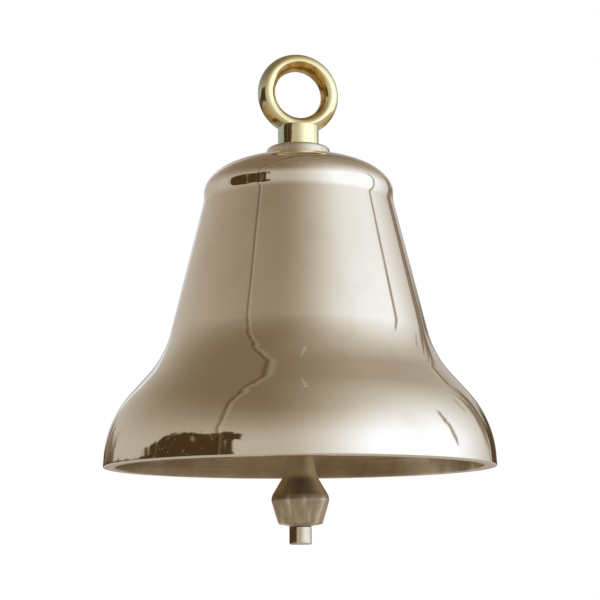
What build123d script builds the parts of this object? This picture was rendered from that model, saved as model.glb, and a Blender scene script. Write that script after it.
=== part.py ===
from build123d import *
from math import acos, cos, degrees, radians, sin, tan
import os

# A hanging bell: a bronze casting with a screwed-on lifting eye, and a clapper that swings
# on a forked hanger under the crown. Millimetres, +Z up.
# The origin is the centre of the eye's hole, and the hole runs along Y.
# Heights in the dimensions below are measured up from the mouth of the bell.

os.makedirs("parts", exist_ok=True)

# ---------------------------------------------------------------- driving dimensions
EYE_HEIGHT = 246.5          # centre of the eye's hole above the mouth

MOUTH_RADIUS = 125.0        # outer edge of the lip
LIP_THICKNESS = 8.0
LIP_STRAIGHT = 7.0          # short straight run above the lip
LIP_LEAN = 3.7              # leans of the wall, in degrees from upright
FLARE_LEAN = 41.7
WAIST_LEAN = 13.6
BOW_RADIUS = 65.75          # outer wall: the rounded sound bow
FLARE_LENGTH = 14.8         # ... the straight flare above it
THROAT_RADIUS = 69.0        # ... and the hollow throat that runs into the waist
BAND_FOOT = 173.0           # the upright band round the shoulder
BAND_ROUNDING = 18.0        # soft hollow where the waist meets the band
BAND_TOP = 179.0
SHOULDER_RADIUS = 12.0      # the crown flattens in three arcs, each with its turn in degrees
SHOULDER_TURN = 36.0
CROWN_EDGE_RADIUS = 28.0
CROWN_EDGE_TURN = 27.0
CROWN_RADIUS = 65.0
CROWN_TURN = 14.0
CROWN_SLOPE = 90 - SHOULDER_TURN - CROWN_EDGE_TURN - CROWN_TURN
BOSS_RADIUS = 22.1          # at its foot, where it stands on the crown
BOSS_FOOT_ROUNDING = 1.0
BOSS_TOP = 209.7
BOSS_TOP_RADIUS = 20.6
BOSS_ROUNDING = 2.8

INNER_BOW_RADIUS = 61.0     # inner wall: the same run of lines and arcs, a wall's thickness inside
INNER_FLARE_LENGTH = 12.0
INNER_THROAT_RADIUS = 69.0
INNER_TOP = 178.5
INNER_SHOULDER_RADIUS = 14.0
INNER_CROWN_SLOPE = 19.0
SEAT_HEIGHT = 197.5         # flat seat under the crown for the packing and the nut
STUD_HOLE_RADIUS = 6.6

RING_RADIUS = 21.65         # eye: middle of the ring's section to the middle of the hole
RING_HALF_THICK = 5.6       # half the ring's section, across the ring
RING_HALF_WIDE = 7.4        # half the ring's section, along the hole
EYE_HOLE_RADIUS = 16.25     # the hole has a narrow bored land where the section is thinnest
COLLAR_RADIUS = 13.5
COLLAR_TOP = 224.3
SOCKET_DEPTH = 16.0

THREAD_RADIUS = 6.0         # M12 thread, drawn plain
STUD_RADIUS = 5.95
STUD_TOP = BOSS_TOP + SOCKET_DEPTH - 0.7
STUD_FOOT = 160.5

PACKING_RADIUS = 17.0
PACKING_THICKNESS = 2.0
WASHER_RADIUS = 15.0
WASHER_THICKNESS = 2.5
NUT_ACROSS_FLATS = 18.0
CROWN_NUT_HEIGHT = 10.0
LOCK_NUT_HEIGHT = 6.0

FORK_TOP = 175.5
PIVOT_HEIGHT = 147.0
FORK_RADIUS = 11.5          # half the fork's width across the arms
FORK_END_RADIUS = 9.5       # round ends of the arms
FORK_SLOT = 12.0            # gap between the arms
SLOT_TOP = PIVOT_HEIGHT + 11.5

PIN_RADIUS = 4.0
PIN_HEAD_RADIUS = 6.5
PIN_HEAD_THICKNESS = 3.0
PIN_TAIL = 18.0             # end of the pin, from the middle of the fork
PIN_WASHER_RADIUS = 8.0
PIN_WASHER_THICKNESS = 1.5
SPLIT_PIN_OFFSET = 14.6     # split pin, from the middle of the fork
SPLIT_PIN_WIRE = 0.5        # radius of one leg
SPLIT_PIN_SPREAD = 0.52     # each leg stands this far from the middle
SPLIT_PIN_HOLE = 1.1
SPLIT_PIN_NECK = 0.9        # radius where a leg turns out to meet the eye
SPLIT_PIN_EYE = 2.1         # radius of the eye
SPLIT_PIN_BEND = 55.0       # each leg is bent out by this angle

SPACER_RADIUS = 8.0
SPACER_THICKNESS = 0.9

LUG_RADIUS = 10.0           # the eye at the top of the clapper's rod
LUG_HALF_THICK = 4.8
BUSH_RADIUS = 6.0
BUSH_BORE = 4.06            # 0.06 mm running clearance on the pin
ROD_RADIUS = 5.5
ROD_THREAD_RADIUS = 5.0
LUG_FOOT = PIVOT_HEIGHT - 22
NECK_HEIGHT = 11.0          # top of the clapper's bulb
BULB_FOOT = -36.6           # where the tail nut meets the bulb's underside
ROD_END = BULB_FOOT - 8
TAIL_RADIUS = 7.05
TAIL_END = -48.2

MOUTH_Z = -EYE_HEIGHT       # the mouth, in the frame of the eye
PIVOT_Z = MOUTH_Z + PIVOT_HEIGHT

# Turned parts are drawn on this plane as (radius, height above the mouth).
SECTION = Plane((0, 0, MOUTH_Z), x_dir=(1, 0, 0), z_dir=(0, -1, 0))


def level(height):
    """The flat plane at a height above the mouth."""
    return Plane.XY.offset(MOUTH_Z + height)


def across(distance):
    """The upright plane through the pivot, at a distance from the middle of the fork along +Y."""
    return Plane((0, distance, PIVOT_Z), x_dir=(-1, 0, 0), z_dir=(0, 1, 0))


def ring(outer_radius, inner_radius):
    """The flat outline of a washer, a bush or a packing ring."""
    Circle(outer_radius)
    Circle(inner_radius, mode=Mode.SUBTRACT)


# ---------------------------------------------------------------- the bell casting
def wall(foot_radius, bow_radius, flare_length, throat_radius, top):
    """One face of the bell's wall, from the mouth up to the shoulder; returns its upper end."""
    lip = PolarLine((foot_radius, 0), LIP_STRAIGHT, 90 + LIP_LEAN)
    bow = JernArc(lip @ 1, lip % 1, bow_radius, FLARE_LEAN - LIP_LEAN)
    flare = PolarLine(bow @ 1, flare_length, 90 + FLARE_LEAN)
    throat = JernArc(flare @ 1, flare % 1, throat_radius, WAIST_LEAN - FLARE_LEAN)
    rise = top - (throat @ 1).Y
    waist = PolarLine(throat @ 1, rise, 90 + WAIST_LEAN, length_mode=LengthMode.VERTICAL)
    return waist @ 1


with BuildPart() as bell_shell:
    with BuildSketch(SECTION):
        with BuildLine():
            outer_waist = wall(MOUTH_RADIUS, BOW_RADIUS, FLARE_LENGTH, THROAT_RADIUS, BAND_FOOT)
            band = Line(outer_waist, (outer_waist.X, BAND_TOP))
            shoulder = JernArc(band @ 1, (0, 1), SHOULDER_RADIUS, SHOULDER_TURN)
            crown_edge = JernArc(shoulder @ 1, shoulder % 1, CROWN_EDGE_RADIUS, CROWN_EDGE_TURN)
            crown_arc = JernArc(crown_edge @ 1, crown_edge % 1, CROWN_RADIUS, CROWN_TURN)
            crown_run = (crown_arc @ 1).X - BOSS_RADIUS
            crown = PolarLine(
                crown_arc @ 1, crown_run, 180 - CROWN_SLOPE, length_mode=LengthMode.HORIZONTAL
            )

            inner_foot = MOUTH_RADIUS - LIP_THICKNESS
            inner_waist = wall(
                inner_foot, INNER_BOW_RADIUS, INNER_FLARE_LENGTH, INNER_THROAT_RADIUS, INNER_TOP
            )
            inner_lean = (-sin(radians(WAIST_LEAN)), cos(radians(WAIST_LEAN)))
            inner_turn = 90 - INNER_CROWN_SLOPE - WAIST_LEAN
            inner_shoulder = JernArc(inner_waist, inner_lean, INNER_SHOULDER_RADIUS, inner_turn)
            inner_rise = SEAT_HEIGHT - (inner_shoulder @ 1).Y
            inner_crown = PolarLine(
                inner_shoulder @ 1, inner_rise, 180 - INNER_CROWN_SLOPE, length_mode=LengthMode.VERTICAL
            )
            Polyline(
                crown @ 1,
                (BOSS_TOP_RADIUS, BOSS_TOP),
                (STUD_HOLE_RADIUS, BOSS_TOP),
                (STUD_HOLE_RADIUS, SEAT_HEIGHT),
                inner_crown @ 1,
            )
            Line((inner_foot, 0), (MOUTH_RADIUS, 0))
        make_face()
    revolve(axis=Axis.Z)
    rims = bell_shell.edges().filter_by(GeomType.CIRCLE)
    fillet(rims.group_by(Axis.Z)[0], radius=0.9)
    band_foot = rims.filter_by(lambda rim: abs(rim.radius - outer_waist.X) < 0.01)
    fillet(band_foot.group_by(Axis.Z)[0], radius=BAND_ROUNDING)
    boss_foot = rims.filter_by(lambda rim: abs(rim.radius - BOSS_RADIUS) < 0.01)
    fillet(boss_foot, radius=BOSS_FOOT_ROUNDING)
    boss_rim = rims.filter_by(lambda rim: abs(rim.radius - BOSS_TOP_RADIUS) < 0.01)
    fillet(boss_rim, radius=BOSS_ROUNDING)

# ---------------------------------------------------------------- the lifting eye
with BuildPart() as hanging_eye:
    # an oval section carried round the hole, with the narrow land bored in it
    with BuildSketch(Plane.YZ):
        with Locations((0, RING_RADIUS)):
            Ellipse(RING_HALF_WIDE, RING_HALF_THICK)
        with Locations((0, EYE_HOLE_RADIUS / 2)):
            Rectangle(4 * RING_HALF_WIDE, EYE_HOLE_RADIUS, mode=Mode.SUBTRACT)
    revolve(axis=Axis.Y)
    # the round collar below it, with a threaded socket for the stud
    with BuildSketch(level(BOSS_TOP)):
        Circle(COLLAR_RADIUS)
    extrude(amount=COLLAR_TOP - BOSS_TOP)
    collar_rims = hanging_eye.edges().filter_by(GeomType.CIRCLE)
    collar_foot = collar_rims.filter_by(lambda rim: abs(rim.radius - COLLAR_RADIUS) < 0.01)
    fillet(collar_foot.group_by(Axis.Z)[0], radius=0.5)
    with BuildSketch(level(BOSS_TOP)):
        Circle(THREAD_RADIUS)
    extrude(amount=SOCKET_DEPTH, mode=Mode.SUBTRACT)

# ---------------------------------------------------------------- what holds it to the crown
with BuildPart() as crown_stud:
    with BuildSketch(level(STUD_FOOT)):
        Circle(STUD_RADIUS)
    extrude(amount=STUD_TOP - STUD_FOOT)
    chamfer(crown_stud.edges().filter_by(GeomType.CIRCLE), length=1.0)

with BuildPart() as crown_packing:
    with BuildSketch(level(SEAT_HEIGHT - PACKING_THICKNESS)):
        ring(PACKING_RADIUS, STUD_HOLE_RADIUS)
    extrude(amount=PACKING_THICKNESS)

WASHER_FOOT = SEAT_HEIGHT - PACKING_THICKNESS - WASHER_THICKNESS

with BuildPart() as crown_washer:
    with BuildSketch(level(WASHER_FOOT)):
        ring(WASHER_RADIUS, STUD_HOLE_RADIUS)
    extrude(amount=WASHER_THICKNESS)
    washer_rims = crown_washer.edges().filter_by(GeomType.CIRCLE)
    outer_rims = washer_rims.filter_by(lambda rim: abs(rim.radius - WASHER_RADIUS) < 0.01)
    chamfer(outer_rims, length=0.4)


def hexagon():
    """The outline of a nut round the stud."""
    RegularPolygon(NUT_ACROSS_FLATS / 2, side_count=6, major_radius=False)
    Circle(THREAD_RADIUS, mode=Mode.SUBTRACT)


def turned_corners(foot, height):
    """Half the section of a nut with its corners turned off at 30 degrees, top and bottom."""
    face = 0.97 * NUT_ACROSS_FLATS / 2
    corner = NUT_ACROSS_FLATS / 2 / cos(radians(30))
    drop = (corner - face) * tan(radians(30))
    Polygon(
        (0, foot),
        (face, foot),
        (corner, foot + drop),
        (corner, foot + height - drop),
        (face, foot + height),
        (0, foot + height),
        align=None,
    )


with BuildPart() as crown_nut:
    crown_nut_foot = WASHER_FOOT - CROWN_NUT_HEIGHT
    with BuildSketch(level(crown_nut_foot)):
        hexagon()
    extrude(amount=CROWN_NUT_HEIGHT)
    with BuildSketch(SECTION):
        turned_corners(crown_nut_foot, CROWN_NUT_HEIGHT)
    revolve(axis=Axis.Z, mode=Mode.INTERSECT)

with BuildPart() as fork_lock_nut:
    with BuildSketch(level(FORK_TOP)):
        hexagon()
    extrude(amount=LOCK_NUT_HEIGHT)
    with BuildSketch(SECTION):
        turned_corners(FORK_TOP, LOCK_NUT_HEIGHT)
    revolve(axis=Axis.Z, mode=Mode.INTERSECT)

# ---------------------------------------------------------------- the fork and its pin
with BuildPart() as clapper_fork:
    # side view of the arms: straight sides down to a round end about the pin
    with BuildSketch(across(0)):
        Circle(FORK_END_RADIUS)
        with Locations((0, (SLOT_TOP + 4 - PIVOT_HEIGHT) / 2)):
            Rectangle(2 * FORK_END_RADIUS, SLOT_TOP + 4 - PIVOT_HEIGHT)
    extrude(amount=FORK_RADIUS, both=True)
    # the threaded socket above them, turned, with a sloping shoulder
    with BuildSketch(SECTION):
        Polygon(
            (0, SLOT_TOP),
            (FORK_RADIUS, SLOT_TOP),
            (FORK_RADIUS, FORK_TOP - 1.5),
            (FORK_RADIUS - 1.5, FORK_TOP),
            (0, FORK_TOP),
            align=None,
        )
    revolve(axis=Axis.Z)
    # outer faces of the arms are turned to the same round as the socket
    with BuildSketch(level(PIVOT_HEIGHT - 20)):
        Circle(FORK_RADIUS)
    extrude(amount=60, mode=Mode.INTERSECT)
    # the slot, the threaded hole and the pin's hole
    with BuildSketch(level(PIVOT_HEIGHT - 20)):
        Rectangle(4 * FORK_RADIUS, FORK_SLOT)
    extrude(amount=SLOT_TOP - PIVOT_HEIGHT + 20, mode=Mode.SUBTRACT)
    with BuildSketch(level(STUD_FOOT)):
        Circle(THREAD_RADIUS)
    extrude(amount=FORK_TOP - STUD_FOOT, mode=Mode.SUBTRACT)
    with BuildSketch(across(0)):
        Circle(PIN_RADIUS)
    extrude(amount=FORK_RADIUS, both=True, mode=Mode.SUBTRACT)

with BuildPart() as fork_pin:
    with BuildSketch(across(-FORK_RADIUS - PIN_HEAD_THICKNESS)):
        Circle(PIN_HEAD_RADIUS)
    extrude(amount=PIN_HEAD_THICKNESS)
    chamfer(fork_pin.edges().group_by(Axis.Y)[0], length=0.8)
    with BuildSketch(across(-FORK_RADIUS)):
        Circle(PIN_RADIUS)
    extrude(amount=FORK_RADIUS + PIN_TAIL)
    chamfer(fork_pin.edges().group_by(Axis.Y)[-1], length=0.8)
    with BuildSketch(Plane.XY.offset(PIVOT_Z - 6)):
        with Locations((0, SPLIT_PIN_OFFSET)):
            Circle(SPLIT_PIN_HOLE)
    extrude(amount=12, mode=Mode.SUBTRACT)

with BuildPart() as pin_washer:
    with BuildSketch(across(FORK_RADIUS)):
        ring(PIN_WASHER_RADIUS, PIN_RADIUS + 0.1)
    extrude(amount=PIN_WASHER_THICKNESS)

with BuildPart() as split_pin:
    # one wire: each half comes down from the top of the eye, through the hole, and is bent out
    with BuildLine(across(SPLIT_PIN_OFFSET)):
        leg = Line((SPLIT_PIN_SPREAD, 4.7), (SPLIT_PIN_SPREAD, -4.4))
        bend = JernArc(leg @ 1, leg % 1, 1.8, SPLIT_PIN_BEND)
        tip = PolarLine(bend @ 1, 2.2, -90 + SPLIT_PIN_BEND)
        reach = (SPLIT_PIN_SPREAD + SPLIT_PIN_NECK) / (SPLIT_PIN_NECK + SPLIT_PIN_EYE)
        neck_turn = degrees(acos(reach))
        neck = JernArc(leg @ 0, (0, 1), SPLIT_PIN_NECK, -neck_turn)
        JernArc(neck @ 1, neck % 1, SPLIT_PIN_EYE, 90 + neck_turn)
        mirror(about=Plane.YZ)
    with BuildSketch(Plane(tip @ 1, z_dir=tip % 1)):
        Circle(SPLIT_PIN_WIRE)
    sweep()

with BuildPart() as fork_spacers:
    for gap_side in (-1, 1):
        foot = FORK_SLOT / 2 - SPACER_THICKNESS if gap_side > 0 else -FORK_SLOT / 2
        with BuildSketch(across(foot)):
            ring(SPACER_RADIUS, PIN_RADIUS + 0.1)
        extrude(amount=SPACER_THICKNESS)

# ---------------------------------------------------------------- the clapper
with BuildPart() as clapper_rod:
    # the shank spreads into the flat eye
    with BuildSketch(level(LUG_FOOT)):
        Circle(ROD_RADIUS)
    with BuildSketch(level(PIVOT_HEIGHT - 7)):
        RectangleRounded(13.5, 2 * LUG_HALF_THICK - 0.4, 3.5)
    loft()
    with BuildSketch(across(-LUG_HALF_THICK)):
        Circle(LUG_RADIUS)
    extrude(amount=2 * LUG_HALF_THICK)
    with BuildSketch(across(-LUG_HALF_THICK)):
        Circle(BUSH_RADIUS)
    extrude(amount=2 * LUG_HALF_THICK, mode=Mode.SUBTRACT)
    # the round shank, with a thinner threaded end that goes through the bulb
    with BuildSketch(level(NECK_HEIGHT)):
        Circle(ROD_RADIUS)
    extrude(amount=LUG_FOOT - NECK_HEIGHT)
    with BuildSketch(level(ROD_END)):
        Circle(ROD_THREAD_RADIUS)
    extrude(amount=NECK_HEIGHT - ROD_END)
    chamfer(clapper_rod.edges().group_by(Axis.Z)[0], length=1.0)

with BuildPart() as lug_bush:
    with BuildSketch(across(-LUG_HALF_THICK)):
        ring(BUSH_RADIUS, BUSH_BORE)
    extrude(amount=2 * LUG_HALF_THICK)

with BuildPart() as clapper_bulb:
    with BuildSketch(SECTION):
        with BuildLine():
            flank = FilletPolyline(
                (7.0, NECK_HEIGHT),
                (7.6, NECK_HEIGHT - 1.5),
                (11.25, -6.0),
                (17.9, -17.2),
                (18.5, -20.2),
                (15.2, -31.5),
                (13.9, -35.4),
                (8.2, BULB_FOOT + 0.3),
                (8.0, BULB_FOOT),
                radius=(0.8, 14.0, 4.0, 4.0, 8.0, 1.2, 0.1),
            )
            Polyline(
                flank @ 1,
                (ROD_THREAD_RADIUS + 0.05, BULB_FOOT),
                (ROD_THREAD_RADIUS + 0.05, NECK_HEIGHT),
                flank @ 0,
            )
        make_face()
    revolve(axis=Axis.Z)

with BuildPart() as clapper_tail:
    with BuildSketch(SECTION):
        Polygon(
            (0, TAIL_END),
            (TAIL_RADIUS, TAIL_END),
            (TAIL_RADIUS, BULB_FOOT),
            (ROD_THREAD_RADIUS + 0.05, BULB_FOOT),
            (ROD_THREAD_RADIUS + 0.05, ROD_END - 0.3),
            (0, ROD_END - 0.3),
            align=None,
        )
    revolve(axis=Axis.Z)
    tail_rims = clapper_tail.edges().filter_by(GeomType.CIRCLE)
    tail_rims = tail_rims.filter_by(lambda rim: abs(rim.radius - TAIL_RADIUS) < 0.01)
    fillet(tail_rims.group_by(Axis.Z)[0], radius=0.8)
    chamfer(tail_rims.group_by(Axis.Z)[-1], length=0.6)

# ---------------------------------------------------------------- write one file per piece
pieces = {
    "bell_shell": bell_shell,
    "hanging_eye": hanging_eye,
    "crown_stud": crown_stud,
    "crown_packing": crown_packing,
    "crown_washer": crown_washer,
    "crown_nut": crown_nut,
    "fork_lock_nut": fork_lock_nut,
    "clapper_fork": clapper_fork,
    "fork_pin": fork_pin,
    "pin_washer": pin_washer,
    "split_pin": split_pin,
    "fork_spacers": fork_spacers,
    "clapper_rod": clapper_rod,
    "lug_bush": lug_bush,
    "clapper_bulb": clapper_bulb,
    "clapper_tail": clapper_tail,
}

for label, piece in pieces.items():
    piece.part.label = label
    export_step(piece.part, f"parts/{label}.step")
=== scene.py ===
from math import atan2, ceil, cos, degrees, hypot, pi, radians, sin, tan

import bpy
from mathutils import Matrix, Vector


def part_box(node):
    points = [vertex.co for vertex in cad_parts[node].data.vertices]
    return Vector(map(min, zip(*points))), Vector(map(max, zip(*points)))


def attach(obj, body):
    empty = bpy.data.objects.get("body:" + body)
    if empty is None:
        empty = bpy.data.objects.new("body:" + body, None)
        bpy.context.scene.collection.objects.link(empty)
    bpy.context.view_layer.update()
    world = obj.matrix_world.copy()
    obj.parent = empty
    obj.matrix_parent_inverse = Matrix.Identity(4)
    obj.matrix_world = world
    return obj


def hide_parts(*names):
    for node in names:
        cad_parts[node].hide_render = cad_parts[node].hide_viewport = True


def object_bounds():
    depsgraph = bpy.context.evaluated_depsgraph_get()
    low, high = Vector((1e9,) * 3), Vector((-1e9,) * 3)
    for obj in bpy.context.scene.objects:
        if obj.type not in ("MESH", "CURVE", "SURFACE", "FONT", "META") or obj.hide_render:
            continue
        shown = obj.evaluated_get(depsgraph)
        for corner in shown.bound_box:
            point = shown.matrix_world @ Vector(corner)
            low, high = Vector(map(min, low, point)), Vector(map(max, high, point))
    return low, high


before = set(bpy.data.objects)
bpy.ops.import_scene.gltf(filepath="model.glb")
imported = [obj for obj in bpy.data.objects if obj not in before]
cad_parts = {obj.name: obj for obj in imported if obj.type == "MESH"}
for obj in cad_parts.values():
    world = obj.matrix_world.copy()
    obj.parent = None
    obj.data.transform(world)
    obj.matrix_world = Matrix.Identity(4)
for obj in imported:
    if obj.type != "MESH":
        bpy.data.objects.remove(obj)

# A hanging bell of polished bronze with a brass lifting eye and a clapper on a fork.
# The turned parts are lathed again here, finely enough for mirror reflections, and take the
# places of the CAD pieces. Outlines are in millimetres, as (radius, height above the mouth);
# everything built from them is in metres.

CAD_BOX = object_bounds()
MM = 0.001
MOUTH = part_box("bell_shell")[0].z                      # height of the mouth's plane
CROWN = (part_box("bell_shell")[1].z - MOUTH) / MM       # top of the casting, above the mouth
BULB_FOOT = (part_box("clapper_bulb")[0].z - MOUTH) / MM
TAIL_FOOT = (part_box("clapper_tail")[0].z - MOUTH) / MM
STUD_FOOT = (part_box("crown_stud")[0].z - MOUTH) / MM
STUD_TOP = (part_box("crown_stud")[1].z - MOUTH) / MM
VIEW = -16.0                                           # the viewer stands left of the eye's axis


def toward(azimuth):
    """A level direction, counted from straight at the viewer and positive to the viewer's right."""
    turn = radians(VIEW)
    forward = Vector((-sin(turn), cos(turn), 0))
    right = Vector((cos(turn), sin(turn), 0))
    return right * sin(radians(azimuth)) - forward * cos(radians(azimuth))


# ---------------------------------------------------------------- outlines and the lathe
class Outline:
    """A run of straight lines and arcs, kept as rings of (x, y, region) for the lathe."""

    def __init__(self, x, y, heading=0.0, region="all"):
        self.x, self.y = x, y
        self.heading = heading
        self.region = region
        self.rings = [(x, y, region)]

    def into(self, region):
        self.region = region
        return self

    def step(self, length, angle):
        self.x += length * cos(radians(angle))
        self.y += length * sin(radians(angle))
        self.rings.append((self.x, self.y, self.region))

    def line(self, length, longest=3.0):
        """Straight on."""
        count = ceil(length / longest - 1e-6)
        for _ in range(count):
            self.step(length / count, self.heading)
        return self

    def arc(self, radius, turn):
        """Round to the left, or to the right if turn is negative."""
        finest = degrees(0.7 / radius) if radius > 5 else 11.0
        count = ceil(abs(turn) / finest)
        part = turn / count
        chord = 2 * radius * sin(radians(abs(part)) / 2)
        for _ in range(count):
            self.step(chord, self.heading + part / 2)
            self.heading += part
        return self

    def until(self, x=None, y=None):
        """Straight on as far as that x or that y."""
        if x is not None:
            return self.line((x - self.x) / cos(radians(self.heading)))
        return self.line((y - self.y) / sin(radians(self.heading)))

    def path(self, *corners):
        """Straight from corner to corner; each is (x, y, radius of its rounding)."""
        for (x, y, radius), following in zip(corners, corners[1:] + (None,)):
            self.heading = degrees(atan2(y - self.y, x - self.x))
            reach = hypot(x - self.x, y - self.y)
            if following is None or radius == 0:
                self.line(reach)
                continue
            onward = degrees(atan2(following[1] - y, following[0] - x))
            turn = (onward - self.heading + 180) % 360 - 180
            self.line(reach - radius * tan(radians(abs(turn)) / 2))
            self.arc(radius, turn)
        return self


def back_along(up, down):
    """One closed outline: along the first, and back along the second to their common start."""
    rings = down.rings[::-1]
    regions = [ring[2] for ring in rings]
    back = [(x, y, regions[max(0, i - 1)]) for i, (x, y, _) in enumerate(rings)]
    return up.rings + back[:-1]


def new_piece(name, vertices, faces, materials, regions=None):
    mesh = bpy.data.meshes.new(name)
    mesh.from_pydata(vertices, [], faces)
    for material in materials:
        mesh.materials.append(material)
    mesh.polygons.foreach_set("material_index", regions or [0] * len(faces))
    mesh.polygons.foreach_set("use_smooth", [True] * len(faces))
    piece = bpy.data.objects.new(name, mesh)
    bpy.context.scene.collection.objects.link(piece)
    return piece


def lathe(name, rings, materials, segments=256, loop=True):
    """Turns an outline round the bell's axis. A ring of no radius becomes a single point."""
    names = list(materials)
    vertices = []
    starts = []
    for x, y, _ in rings:
        starts.append(len(vertices))
        for k in range(1 if x < 1e-6 else segments):
            angle = 2 * pi * k / segments
            vertices.append((x * MM * cos(angle), x * MM * sin(angle), MOUTH + y * MM))
    spans = list(zip(range(len(rings)), range(1, len(rings))))
    if loop:
        spans.append((len(rings) - 1, 0))
    faces = []
    regions = []
    for i, j in spans:
        for k in range(segments):
            n = (k + 1) % segments
            low = [starts[i]] if rings[i][0] < 1e-6 else [starts[i] + k, starts[i] + n]
            high = [starts[j]] if rings[j][0] < 1e-6 else [starts[j] + n, starts[j] + k]
            faces.append(low + high)
            regions.append(names.index(rings[j][2]))
    return new_piece(name, vertices, faces, materials.values(), regions)


# ---------------------------------------------------------------- material helpers
class Shader:
    """A node tree, with short names for the nodes that the finishes share."""

    def __init__(self, owner, **principled):
        owner.use_nodes = True
        self.owner = owner
        self.tree = owner.node_tree
        self.surface = self.tree.nodes.get("Principled BSDF")
        for socket, value in principled.items():
            self.surface.inputs[socket].default_value = value
        self.place = self.add("ShaderNodeTexCoord").outputs["Object"]

    def add(self, kind, inputs=(), **settings):
        node = self.tree.nodes.new(kind)
        for key, value in settings.items():
            setattr(node, key, value)
        for socket, value in dict(inputs).items():
            if isinstance(value, bpy.types.NodeSocket):
                self.tree.links.new(value, node.inputs[socket])
            elif node.inputs[socket].type == "RGBA":
                node.inputs[socket].default_value = (*value, 1.0)
            else:
                node.inputs[socket].default_value = value
        return node

    def math(self, operation, a, b=0.0):
        return self.add("ShaderNodeMath", {0: a, 1: b}, operation=operation).outputs[0]

    def vector(self, operation, a, b=(0, 0, 0)):
        node = self.add("ShaderNodeVectorMath", {0: a, 1: b}, operation=operation)
        return node.outputs["Value" if operation in ("LENGTH", "DOT_PRODUCT") else "Vector"]

    def split(self, vector):
        return self.add("ShaderNodeSeparateXYZ", {0: vector}).outputs

    def noise(self, scale, detail=4.0, roughness=0.5, at=None):
        inputs = {"Vector": at or self.place, "Scale": scale, "Detail": detail, "Roughness": roughness}
        return self.add("ShaderNodeTexNoise", inputs).outputs["Fac"]

    def ramp(self, value, *stops):
        """stops are (position, level or colour)."""
        node = self.add("ShaderNodeValToRGB", {"Fac": value})
        elements = node.color_ramp.elements
        while len(elements) < len(stops):
            elements.new(0.5)
        for element, (position, level) in zip(elements, stops):
            element.position = position
            colour = level if isinstance(level, tuple) else (level, level, level)
            element.color = (*colour, 1.0)
        return node.outputs["Color"]

    def mix(self, share, a, b, blend="MIX"):
        node = self.add("ShaderNodeMix", {0: share, 6: a, 7: b}, data_type="RGBA", blend_type=blend)
        return node.outputs[2]

    def turned(self, lines_per_metre, wander=2.0):
        """Coordinates that run round the axis, so that a noise read there looks like tool marks."""
        flat = self.vector("MULTIPLY", self.place, (1, 1, 0))
        around = self.vector("MULTIPLY", self.vector("NORMALIZE", flat), (wander, wander, 0))
        inward = self.math("MULTIPLY", self.vector("LENGTH", flat), 0.6)
        along = self.math("SUBTRACT", self.split(self.place)[2], inward)
        across = self.add("ShaderNodeCombineXYZ", {2: self.math("MULTIPLY", along, lines_per_metre)})
        return self.vector("ADD", around, across.outputs[0])

    def colour(self, value):
        self.tree.links.new(value, self.surface.inputs["Base Color"])

    def rough(self, base, *layers):
        """A roughness that each (texture, amount) adds to."""
        total = base
        for texture, amount in layers:
            total = self.math("ADD", total, self.math("MULTIPLY", texture, amount))
        self.tree.links.new(total, self.surface.inputs["Roughness"])

    def bumps(self, *layers):
        """Each layer is (height, distance in metres); they are laid one over the other."""
        normal = None
        for height, distance in layers:
            inputs = {"Height": height, "Distance": distance, "Strength": 1.0}
            if normal is not None:
                inputs["Normal"] = normal
            normal = self.add("ShaderNodeBump", inputs).outputs["Normal"]
        self.tree.links.new(normal, self.surface.inputs["Normal"])


def metal(name):
    return Shader(bpy.data.materials.new(name), Metallic=1.0)


# ---------------------------------------------------------------- the metals, and the packing
def polished_bronze():
    """The outside of the bell: buffed to a mirror, with small pits and buffing marks left in it."""
    s = metal("polished_bronze")
    base = s.ramp(s.noise(9.0, detail=5.0), (0.3, (0.74, 0.640, 0.490)), (0.7, (0.80, 0.705, 0.560)))
    stain = s.ramp(s.noise(48.0, detail=6.0, roughness=0.65), (0.52, 0.0), (0.80, 0.30))
    base = s.mix(stain, base, (0.62, 0.50, 0.34))
    lines = s.noise(1.0, detail=3.0, at=s.turned(1300.0, wander=1.5))
    scratches = s.noise(1.0, detail=3.0, roughness=0.6, at=s.turned(380.0, wander=6.0))
    smudge = s.noise(24.0, detail=6.0, roughness=0.6)
    pores = s.add("ShaderNodeTexVoronoi", {"Vector": s.place, "Scale": 330.0}, feature="F1")
    pore = s.ramp(pores.outputs["Distance"], (0.06, 1.0), (0.15, 0.0))
    patches = s.ramp(s.noise(26.0, detail=3.0), (0.54, 0.0), (0.66, 1.0))
    pore = s.math("MULTIPLY", pore, patches)
    s.colour(s.mix(s.math("MULTIPLY", pore, 0.35), base, (0.34, 0.26, 0.16)))
    s.rough(0.012, (smudge, 0.045), (scratches, 0.035), (pore, 0.2))
    s.bumps(
        (s.noise(12.0, detail=1.0), 0.0004),
        (scratches, 0.0000022),
        (lines, 0.0000013),
        (s.math("SUBTRACT", 1.0, pore), 0.00006),
    )
    return s.owner


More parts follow.
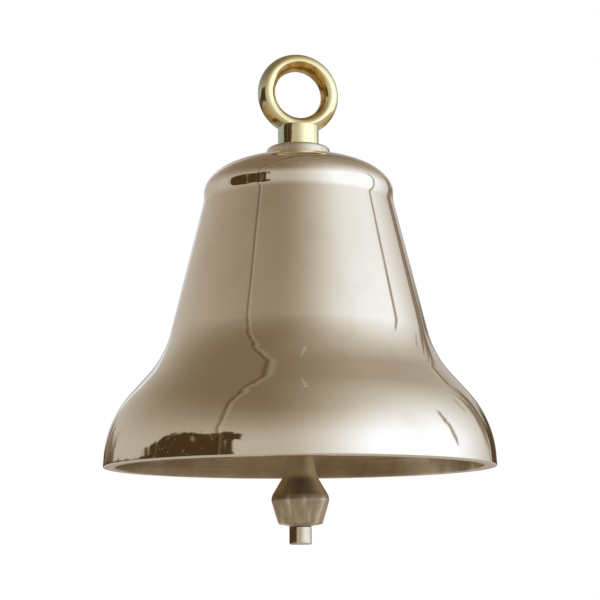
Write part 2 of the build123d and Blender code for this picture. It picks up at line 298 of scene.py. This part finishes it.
def turned_bronze():
    """The inside of the bell: bored, never polished, and gone brown."""
    s = metal("turned_bronze")
    patina = s.noise(20.0, detail=7.0, roughness=0.62)
    base = s.ramp(
        patina, (0.30, (0.24, 0.160, 0.080)), (0.50, (0.41, 0.300, 0.170)), (0.72, (0.55, 0.43, 0.265))
    )
    lines = s.noise(1.0, detail=5.0, roughness=0.7, at=s.turned(700.0, wander=1.0))
    coarse = s.noise(1.0, detail=1.0, at=s.turned(230.0, wander=0.7))
    base = s.mix(s.ramp(lines, (0.46, 0.0), (0.72, 0.5)), base, (0.21, 0.14, 0.07))
    # painted light: paler blotches on one side only, the right, standing in for light reflected onto that
    # part of the inside
    painted_light_side = s.vector("DOT_PRODUCT", s.place, tuple(toward(90)))
    painted_light_side = s.ramp(s.math("MULTIPLY", painted_light_side, 8.0), (0.52, 0.0), (0.72, 1.0))
    painted_light_blotches = s.ramp(s.noise(45.0, detail=2.0), (0.38, 0.35), (0.58, 1.0))
    s.colour(s.mix(s.math("MULTIPLY", painted_light_side, painted_light_blotches), base, (0.80, 0.68, 0.49)))
    s.rough(0.30, (patina, 0.28))
    s.bumps((patina, 0.00012), (coarse, 0.00006), (lines, 0.00004))
    return s.owner


def faced_bronze():
    """The flat face of the lip, cut bright by the lathe."""
    s = metal("faced_bronze")
    around = s.noise(1.0, detail=3.0, at=s.turned(2600.0, wander=1.2))
    s.colour(s.ramp(s.noise(30.0), (0.3, (0.52, 0.42, 0.28)), (0.7, (0.66, 0.55, 0.39))))
    s.rough(0.16, (around, 0.18))
    s.bumps((around, 0.000008))
    return s.owner


def eye_brass():
    """The eye is yellower, with a painted reflection of the dark ground, in brown, in its hole and low down,
    and a painted greenish reflection on its left.
    """
    s = metal("eye_brass")
    base = s.ramp(s.noise(55.0), (0.3, (0.78, 0.66, 0.34)), (0.7, (0.86, 0.76, 0.44)))
    cloud = s.noise(130.0, detail=6.0, roughness=0.65)
    # painted reflection of the dark ground, in brown: in the hole, most of all at its top, and low down on
    # the ring's outside
    reach = s.math("MULTIPLY", s.vector("LENGTH", s.vector("MULTIPLY", s.place, (1, 0, 1))), 20.0)
    depth = s.math("MULTIPLY", s.split(s.place)[2], -20.0)
    upward = s.math("MAXIMUM", s.math("DIVIDE", depth, s.math("MULTIPLY", reach, -1.0)), 0.0)
    hole = s.ramp(s.math("SUBTRACT", reach, s.math("MULTIPLY", upward, 0.07)), (0.335, 1.0), (0.365, 0.0))
    outer = s.ramp(reach, (0.470, 0.0), (0.525, 1.0))
    low = s.ramp(depth, (0.0, 0.0), (0.25, 1.0), (0.41, 1.0), (0.445, 0.0))
    painted_reflection_mask = s.math("MAXIMUM", hole, s.math("MULTIPLY", outer, low))
    streaks = s.noise(1.0, detail=5.0, roughness=0.7, at=s.vector("MULTIPLY", s.place, (260, 70, 260)))
    painted_reflection_mask = s.math("MULTIPLY", painted_reflection_mask, s.ramp(streaks, (0.30, 0.65), (0.50, 1.0)))
    # the brown of the painted reflection
    brown = s.ramp(cloud, (0.35, (0.26, 0.13, 0.020)), (0.60, (0.66, 0.41, 0.095)))
    base = s.mix(painted_reflection_mask, base, brown)
    # painted reflection: a greenish film on the ring's outside, to the left, where the painted dark
    # reflection is not
    sideways = s.math("MULTIPLY", s.split(s.place)[0], -20.0)
    painted_green_reflection = s.math("MULTIPLY", s.ramp(sideways, (0.13, 0.0), (0.20, 1.0)), outer)
    painted_green_reflection = s.math("MULTIPLY", s.math("SUBTRACT", 1.0, painted_reflection_mask), painted_green_reflection)
    base = s.mix(s.math("MULTIPLY", painted_green_reflection, 0.7), base, (0.45, 0.54, 0.49))
    s.colour(s.mix(s.ramp(cloud, (0.58, 0.0), (0.8, 0.3)), base, (0.46, 0.36, 0.16)))
    s.rough(0.035, (cloud, 0.10), (painted_reflection_mask, 0.16))
    s.bumps((s.noise(75.0, detail=2.0), 0.00015), (streaks, 0.000012))
    return s.owner


def clapper_bronze():
    """Turned and worn satin."""
    s = metal("clapper_bronze")
    base = s.ramp(s.noise(35.0, detail=5.0), (0.3, (0.58, 0.465, 0.315)), (0.7, (0.69, 0.58, 0.42)))
    lines = s.noise(1.0, detail=4.0, roughness=0.65, at=s.turned(1500.0, wander=1.2))
    worn = s.noise(120.0, detail=5.0, roughness=0.6)
    base = s.mix(s.ramp(worn, (0.55, 0.0), (0.75, 0.35)), base, (0.42, 0.32, 0.20))
    # painted light: the neck and upper part of the bulb are made paler and yellower, standing in for light
    # that the dark inside of the bell doesn't give them
    height = s.math("MULTIPLY", s.math("SUBTRACT", s.split(s.place)[2], MOUTH), 20.0)
    painted_light_upper = s.ramp(s.math("ADD", height, 0.6), (0.21, 0.0), (0.32, 0.65))
    # upright strokes of lighter and darker colour over the whole clapper; they show mostly low down, where
    # the painted light is not laid over them
    strokes = s.noise(1.0, detail=3.0, at=s.vector("MULTIPLY", s.place, (130, 130, 10)))
    stroke_colours = s.ramp(
        strokes, (0.42, (0.34, 0.26, 0.155)), (0.50, (0.49, 0.39, 0.255)), (0.58, (0.74, 0.63, 0.47))
    )
    base = s.mix(0.75, base, stroke_colours)
    s.colour(s.mix(painted_light_upper, base, (0.98, 0.86, 0.65)))
    s.rough(0.30, (worn, 0.16), (lines, 0.10))
    s.bumps((s.noise(60.0, detail=2.0), 0.0001), (lines, 0.000016))
    return s.owner


def tail_bronze():
    """Bright from the hand that pulls it."""
    s = metal("tail_bronze")
    lines = s.noise(1.0, detail=3.0, at=s.turned(2600.0, wander=1.0))
    s.colour(s.ramp(s.noise(60.0), (0.3, (0.54, 0.44, 0.30)), (0.7, (0.66, 0.55, 0.39))))
    s.rough(0.07, (lines, 0.12))
    s.bumps((lines, 0.00001))
    return s.owner


def bush_bronze():
    s = metal("bush_bronze")
    tone = s.noise(150.0)
    s.colour(s.ramp(tone, (0.3, (0.50, 0.27, 0.13)), (0.7, (0.66, 0.40, 0.20))))
    s.rough(0.22, (tone, 0.25))
    s.bumps((s.noise(700.0, detail=2.0), 0.00001))
    return s.owner


def zinc_steel():
    s = metal("zinc_steel")
    spangle = s.add("ShaderNodeTexVoronoi", {"Vector": s.place, "Scale": 420.0}, feature="F1")
    tone = s.noise(90.0, detail=5.0, roughness=0.6)
    base = s.ramp(tone, (0.3, (0.42, 0.41, 0.38)), (0.7, (0.62, 0.61, 0.58)))
    s.colour(s.mix(0.2, base, spangle.outputs["Color"], blend="SOFT_LIGHT"))
    s.rough(0.20, (tone, 0.25))
    s.bumps((tone, 0.00003), (s.noise(1500.0, detail=1.0), 0.000004))
    return s.owner


def forged_steel():
    """Black scale, with a little rust coming through."""
    s = metal("forged_steel")
    scale = s.noise(110.0, detail=8.0, roughness=0.65)
    base = s.ramp(
        scale, (0.35, (0.055, 0.048, 0.042)), (0.55, (0.15, 0.135, 0.12)), (0.72, (0.24, 0.20, 0.16))
    )
    rust = s.ramp(s.noise(45.0, detail=6.0), (0.56, 0.0), (0.72, 0.7))
    s.colour(s.mix(rust, base, (0.13, 0.062, 0.030)))
    s.rough(0.35, (scale, 0.35))
    s.bumps((scale, 0.00016), (s.noise(900.0, detail=2.0), 0.00003))
    return s.owner


def packing_fibre():
    s = Shader(bpy.data.materials.new("packing_fibre"))
    fibre = s.noise(1.0, detail=6.0, roughness=0.7, at=s.turned(1600.0, wander=40.0))
    s.colour(s.ramp(fibre, (0.3, (0.09, 0.022, 0.014)), (0.7, (0.22, 0.070, 0.040))))
    s.rough(0.6, (fibre, 0.2))
    s.bumps((fibre, 0.00008))
    return s.owner


# ---------------------------------------------------------------- the bell casting
def wall(foot, heading, bow_radius, flare, throat_radius, region):
    """One face of the wall, from the middle of the lip's face to the start of the waist."""
    lip_middle, lip_rounding, lip_lean, lip_height = 121.0, 0.9, 93.7, 7.0
    bow_turn, throat_turn = 38.0, -28.1
    face = Outline(lip_middle, 0.0, heading, "lip")
    turn = lip_lean - heading
    tangent = lip_rounding * tan(radians(abs(turn)) / 2)
    face.line(abs(foot - lip_middle) - tangent).into(region).arc(lip_rounding, turn)
    face.line(lip_height - tangent).arc(bow_radius, bow_turn)
    return face.line(flare).arc(throat_radius, throat_turn)


def build_bell(bronze, inner_bronze, lip_bronze):
    outside = wall(125.0, 0.0, 65.75, 14.8, 69.0, "outside")
    lean, hollow = 13.6, 18.0                            # the waist runs softly into the band
    outside.until(y=173.0 - hollow * tan(radians(lean / 2)) * cos(radians(lean)))
    outside.arc(hollow, -lean).until(y=179.0)
    outside.arc(12.0, 36.0).arc(28.0, 27.0).arc(65.0, 14.0)
    boss, boss_taper, slope, stud_hole = 22.1, 1.5, 13.0, 6.6
    boss_foot = outside.y + (outside.x - boss) * tan(radians(slope))
    outside.path(
        (boss, boss_foot, 1.0),
        (boss - boss_taper, CROWN, 2.8),
        (stud_hole, CROWN, 0.25),
        (stud_hole, CROWN - 1.0, 0.0),
    )
    inside = wall(117.0, 180.0, 61.0, 12.0, 69.0, "inside")
    inside.until(y=178.5).arc(14.0, 57.4)
    inside.until(y=197.46).arc(0.5, 19.0).until(x=stud_hole)
    materials = {"outside": bronze, "inside": inner_bronze, "lip": lip_bronze}
    bell = lathe("bell_casting", back_along(outside, inside), materials, segments=384)
    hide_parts("bell_shell")
    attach(bell, "bell")


# ---------------------------------------------------------------- the lifting eye
def build_eye(brass):
    """A ring of oval section, with a narrow bored land round its hole, in a round collar."""
    ring_radius, half_thick, half_wide, hole = 21.65, 5.6, 7.4, 16.25
    around, across = 288, 96
    vertices = []
    faces = []
    for i in range(around):
        u = 2 * pi * i / around
        here, there = i * across, (i + 1) % around * across
        for j in range(across):
            v = 2 * pi * j / across
            n = (j + 1) % across
            reach = max(hole, ring_radius + half_thick * cos(v))
            vertices.append((reach * MM * sin(u), half_wide * MM * sin(v), reach * MM * cos(u)))
            faces.append((here + j, here + n, there + n, there + j))
    ring = new_piece("eye_ring", vertices, faces, [brass])
    # the collar hides the ring's foot, and has the stud's socket bored in it
    collar = Outline(0.0, 223.6)
    collar.path((6.0, 223.6, 0.0), (6.0, CROWN + 0.05, 0.0))
    collar.path((13.5, CROWN + 0.05, 0.5), (13.5, 224.3, 0.35), (0.0, 224.3, 0.0))
    foot = lathe("eye_collar", collar.rings, {"all": brass}, segments=192, loop=False)
    for piece in (ring, foot):
        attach(piece, "bell")
    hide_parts("hanging_eye")


# ---------------------------------------------------------------- the stud, with its thread cut
def build_stud(zinc):
    """An M12 thread: a groove wound up the stud, with both ends of the stud chamfered."""
    pitch, crest, depth = 1.75, 5.95, 0.9
    length = STUD_TOP - STUD_FOOT
    around, rows = 48, ceil(length / 0.175)
    vertices = [(0.0, 0.0, MOUTH + STUD_FOOT * MM), (0.0, 0.0, MOUTH + STUD_TOP * MM)]
    for i in range(rows + 1):
        height = length * i / rows
        end = min(height, length - height)
        for k in range(around):
            turns = (height / pitch - k / around) % 1.0
            groove = depth * (1 - abs(2 * turns - 1))
            radius = min(crest - groove, crest - 1.0 + end) * MM
            angle = 2 * pi * k / around
            z = MOUTH + (STUD_FOOT + height) * MM
            vertices.append((radius * cos(angle), radius * sin(angle), z))
    faces = []
    first, last = 2, 2 + rows * around
    for k in range(around):
        n = (k + 1) % around
        faces.append((0, first + n, first + k))
        faces.append((1, last + k, last + n))
        for low in range(first, last, around):
            faces.append((low + k, low + n, low + around + n, low + around + k))
    stud = new_piece("crown_stud_threaded", vertices, faces, [zinc])
    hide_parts("crown_stud")
    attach(stud, "bell")


# ---------------------------------------------------------------- the clapper
def build_clapper(bronze, bright_bronze):
    neck = 11.0
    outline = Outline(5.05, BULB_FOOT)
    outline.path(
        (8.0, BULB_FOOT, 0.1),
        (8.2, BULB_FOOT + 0.3, 0.1),
        (13.9, -35.4, 1.2),
        (15.2, -31.5, 8.0),
        (18.5, -20.2, 4.0),
        (17.9, -17.2, 4.0),
        (11.25, -6.0, 14.0),
        (7.6, neck - 1.5, 0.8),
        (7.0, neck, 0.0),
    )
    outline.path((5.05, neck, 0.0))
    bulb = lathe("clapper_bulb_turned", outline.rings, {"all": bronze})
    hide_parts("clapper_bulb")
    outline = Outline(0.0, TAIL_FOOT)
    outline.path((7.05, TAIL_FOOT, 0.8), (7.05, BULB_FOOT - 0.6, 0.15), (6.45, BULB_FOOT, 0.0))
    outline.path((5.05, BULB_FOOT, 0.0), (5.05, BULB_FOOT - 8.3, 0.0), (0.0, BULB_FOOT - 8.3, 0.0))
    tail = lathe("clapper_tail_turned", outline.rings, {"all": bright_bronze}, loop=False)
    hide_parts("clapper_tail")
    for piece in (bulb, tail):
        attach(piece, "clapper")


# ---------------------------------------------------------------- finishes on the CAD's own pieces
def dress(node, material):
    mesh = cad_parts[node].data
    mesh.materials.clear()
    mesh.materials.append(material)


zinc = zinc_steel()
forged = forged_steel()
bearing = bush_bronze()

build_bell(polished_bronze(), turned_bronze(), faced_bronze())
build_eye(eye_brass())
build_stud(zinc)
build_clapper(clapper_bronze(), tail_bronze())
dress("crown_packing", packing_fibre())
for node in ("crown_washer", "crown_nut", "fork_lock_nut", "fork_pin", "pin_washer", "split_pin"):
    dress(node, zinc)
for node in ("clapper_fork", "clapper_rod"):
    dress(node, forged)
for node in ("fork_spacers", "lug_bush"):
    dress(node, bearing)


# ---------------------------------------------------------------- room, floor and camera
def build_room():
    """White to the camera. The metal sees a dim tent with one big soft light on its right."""
    world = bpy.data.worlds.new("room")
    bpy.context.scene.world = world
    s = Shader(world)
    s.tree.nodes.clear()
    ray = s.add("ShaderNodeTexCoord").outputs["Generated"]
    s.place = ray
    sideways = s.vector("DOT_PRODUCT", ray, tuple(toward(90)))
    nearer = s.vector("DOT_PRODUCT", ray, tuple(toward(0)))
    elevation = s.math("MULTIPLY", s.math("ARCSINE", s.split(ray)[2]), 180 / pi)
    azimuth = s.math("MULTIPLY", s.math("ARCTAN2", sideways, nearer), 180 / pi)

    def band(value, *stops):
        """A ramp whose stops are in degrees, from 0 to 180."""
        return s.ramp(s.math("DIVIDE", value, 180.0), *[(angle / 180.0, level) for angle, level in stops])

    def fade(value, start, end):
        """One as far as start, and softly down to nothing at end, in degrees."""
        inputs = {"Value": value, "From Min": start, "From Max": end, "To Min": 1.0, "To Max": 0.0}
        return s.add("ShaderNodeMapRange", inputs, interpolation_type="SMOOTHSTEP").outputs["Result"]

    def swing(scale, amount):
        """A noise either side of zero, in degrees."""
        return s.math("MULTIPLY", s.math("SUBTRACT", s.noise(scale, detail=5.0, roughness=0.6), 0.5), amount)

    # the tent is lightest low down and dims towards its top
    tent_foot, tent_top = 0.66, 0.40
    low_share = s.math("POWER", fade(elevation, 8, 62), 1.25)
    level = s.math("ADD", s.math("MULTIPLY", low_share, tent_foot - tent_top), tent_top)
    # the soft light, which dies away all round its middle
    light = 0.39
    middle = toward(72) * cos(radians(20)) + Vector((0, 0, sin(radians(20))))
    away = s.math("MULTIPLY", s.math("ARCCOSINE", s.vector("DOT_PRODUCT", ray, tuple(middle))), 180 / pi)
    level = s.math("ADD", level, s.math("MULTIPLY", fade(away, 14, 86), light))
    # a pale gap behind the object on the left, and dark cloth straight behind it
    behind = s.math("ABSOLUTE", azimuth)
    gap = s.math("ABSOLUTE", s.math("ADD", azimuth, 163.0))
    low = band(elevation, (0, 1.0), (28, 1.0), (45, 0.0))
    level = s.mix(s.math("MULTIPLY", band(gap, (3.0, 0.8), (4.5, 0.0)), low), level, (0.80, 0.80, 0.80))
    dark_low = band(elevation, (0, 1.0), (12, 1.0), (15.5, 0.0))
    dark_low = s.math("MULTIPLY", band(behind, (167, 0.0), (169, 0.95)), dark_low)
    level = s.mix(dark_low, level, (0.25, 0.25, 0.25))

    # dark shapes standing about the tent, all ragged
    ragged_elevation = s.math("ADD", elevation, swing(7.0, 12.0))
    ragged_azimuth = s.math("ADD", azimuth, swing(5.0, 9.0))
    around = s.add("ShaderNodeCombineXYZ", {0: s.math("MULTIPLY", azimuth, 0.4)})
    grass = s.noise(1.0, detail=3.0, at=around.outputs[0])
    spiky_elevation = s.math("ADD", elevation, s.math("MULTIPLY", s.math("SUBTRACT", grass, 0.5), 34.0))

    def blot(level, place, half_width, foot, top, dark, strength=1.0, height=ragged_elevation):
        off = s.math("ABSOLUTE", s.math("SUBTRACT", ragged_azimuth, place))
        wide = band(off, (half_width - 1.0, strength), (half_width + 1.0, 0.0))
        over = s.math("ABSOLUTE", s.math("SUBTRACT", height, (foot + top) / 2))
        tall = band(over, ((top - foot) / 2 - 1.0, 1.0), ((top - foot) / 2 + 1.0, 0.0))
        return s.mix(s.math("MULTIPLY", wide, tall), level, (dark, dark, dark))

    level = blot(level, -150, 12, -20, 11, 0.36, 0.9, height=spiky_elevation)
    level = blot(level, 146, 7, 7, 26, 0.40, 0.85, height=spiky_elevation)
    level = blot(level, 157, 9, -20, 13, 0.25, height=spiky_elevation)
    level = blot(level, 103, 1.3, 10, 34, 0.45, 0.9)
    level = blot(level, 132, 1.1, 24, 31, 0.50, 0.8)
    # the biggest of them, on the left, falls away to the left in a slope
    slope = {"Value": ragged_azimuth, "From Min": -104, "From Max": -80, "To Min": 6, "To Max": 22}
    roof = s.add("ShaderNodeMapRange", slope).outputs["Result"]
    under = band(s.math("SUBTRACT", roof, ragged_elevation), (0, 0.0), (1.5, 1.0))
    overhang = s.math("MULTIPLY", s.math("GREATER_THAN", ragged_elevation, 16.0), 6.0)
    right_end = s.math("SUBTRACT", s.math("ADD", overhang, -38.0), ragged_azimuth)
    shape = s.math("MULTIPLY", under, band(right_end, (0, 0.0), (1.5, 1.0)))
    across = {0: s.math("MULTIPLY", azimuth, 0.16), 1: s.math("MULTIPLY", elevation, 0.10)}
    across = s.add("ShaderNodeCombineXYZ", across)
    strokes = s.ramp(s.noise(1.0, detail=3.0, at=across.outputs[0]), (0.60, 1.0), (0.70, 0.5))
    level = s.mix(s.math("MULTIPLY", shape, strokes), level, (0.21, 0.21, 0.21))
    # a hatch high up in front, with two bright edges
    for place in (8.5, 11.5):
        off = s.math("ABSOLUTE", s.math("SUBTRACT", azimuth, place))
        high = band(s.math("ABSOLUTE", s.math("SUBTRACT", elevation, 80.5)), (6.0, 1.0), (7.0, 0.0))
        level = s.mix(s.math("MULTIPLY", band(off, (0.5, 0.6), (1.0, 0.0)), high), level, (0.8, 0.8, 0.8))

    # a seam that runs over the tent, dark along one side and light along the other
    flat = s.vector("NORMALIZE", s.add("ShaderNodeCombineXYZ", {0: sideways, 1: nearer}).outputs[0])
    fall = s.math("SUBTRACT", 90.0, elevation)
    over_seam = (cos(radians(40)), sin(radians(40)), 0)
    beside = s.math("MULTIPLY", s.vector("DOT_PRODUCT", flat, over_seam), fall)
    beside = s.math("ADD", s.math("ADD", beside, 11.3), swing(2.6, 13.0))
    dark_side = band(s.math("ABSOLUTE", beside), (0, 0.38), (0.6, 0.38), (1.7, 0.0))
    off = s.math("ABSOLUTE", s.math("SUBTRACT", beside, 2.2))
    light_side = band(off, (0, 0.14), (0.8, 0.14), (1.8, 0.0))
    level = s.mix(dark_side, level, (0.15, 0.15, 0.15))
    level = s.mix(light_side, level, (0.85, 0.85, 0.85))

    # dim parts of the tent are warm and bright parts cool: blue falls off fastest
    level = s.math("MINIMUM", level, 1.0)
    channels = {}
    for channel, (brightest, power) in enumerate(((1.3, 1.8), (1.5, 2.2), (1.9, 2.8))):
        channels[channel] = s.math("MULTIPLY", s.math("POWER", level, power), brightest)
    colour = s.add("ShaderNodeCombineXYZ", channels).outputs[0]
    # the floor is lit more strongly than the tent looks in the metal, so that it stays pale
    floor_boost = 0.7
    path = s.add("ShaderNodeLightPath").outputs
    strength = s.math("ADD", s.math("MULTIPLY", path["Is Diffuse Ray"], floor_boost), 1.0)
    seen = s.add("ShaderNodeBackground", {"Color": (1, 1, 1)})
    lit = s.add("ShaderNodeBackground", {"Color": colour, "Strength": strength})
    both = s.add("ShaderNodeMixShader", {0: path["Is Camera Ray"], 1: lit.outputs[0], 2: seen.outputs[0]})
    s.add("ShaderNodeOutputWorld", {"Surface": both.outputs[0]})


def build_floor():
    """A wide pale floor, well below the clapper."""
    s = Shader(bpy.data.materials.new("pale_floor"), Roughness=0.7)
    s.colour(s.ramp(s.noise(3.0), (0.3, (0.78, 0.77, 0.75)), (0.7, (0.82, 0.81, 0.79))))
    radius, sides, drop = 7.0, 96, 0.40
    height = CAD_BOX[0].z - drop
    angles = [2 * pi * k / sides for k in range(sides)]
    rim = [(radius * cos(angle), radius * sin(angle), height) for angle in angles]
    new_piece("floor", rim, [tuple(range(sides))], [s.owner])


def build_camera():
    """A long lens, a little below the mouth and looking slightly up."""
    distance, drop, tilt, roll = 1.038, 0.0627, 9.38, -0.33
    data = bpy.data.cameras.new("camera")
    data.sensor_width = 36.0
    data.lens = 97.3
    data.shift_x = 0.0014
    camera = bpy.data.objects.new("camera", data)
    camera.location = toward(0) * distance + Vector((0, 0, MOUTH - drop))
    camera.rotation_euler = (radians(90 + tilt), 0, radians(VIEW))
    camera.rotation_euler.rotate_axis("Z", radians(roll))
    bpy.context.scene.collection.objects.link(camera)
    bpy.context.scene.camera = camera


build_room()
build_floor()
build_camera()
bpy.context.scene.view_settings.view_transform = "Standard"
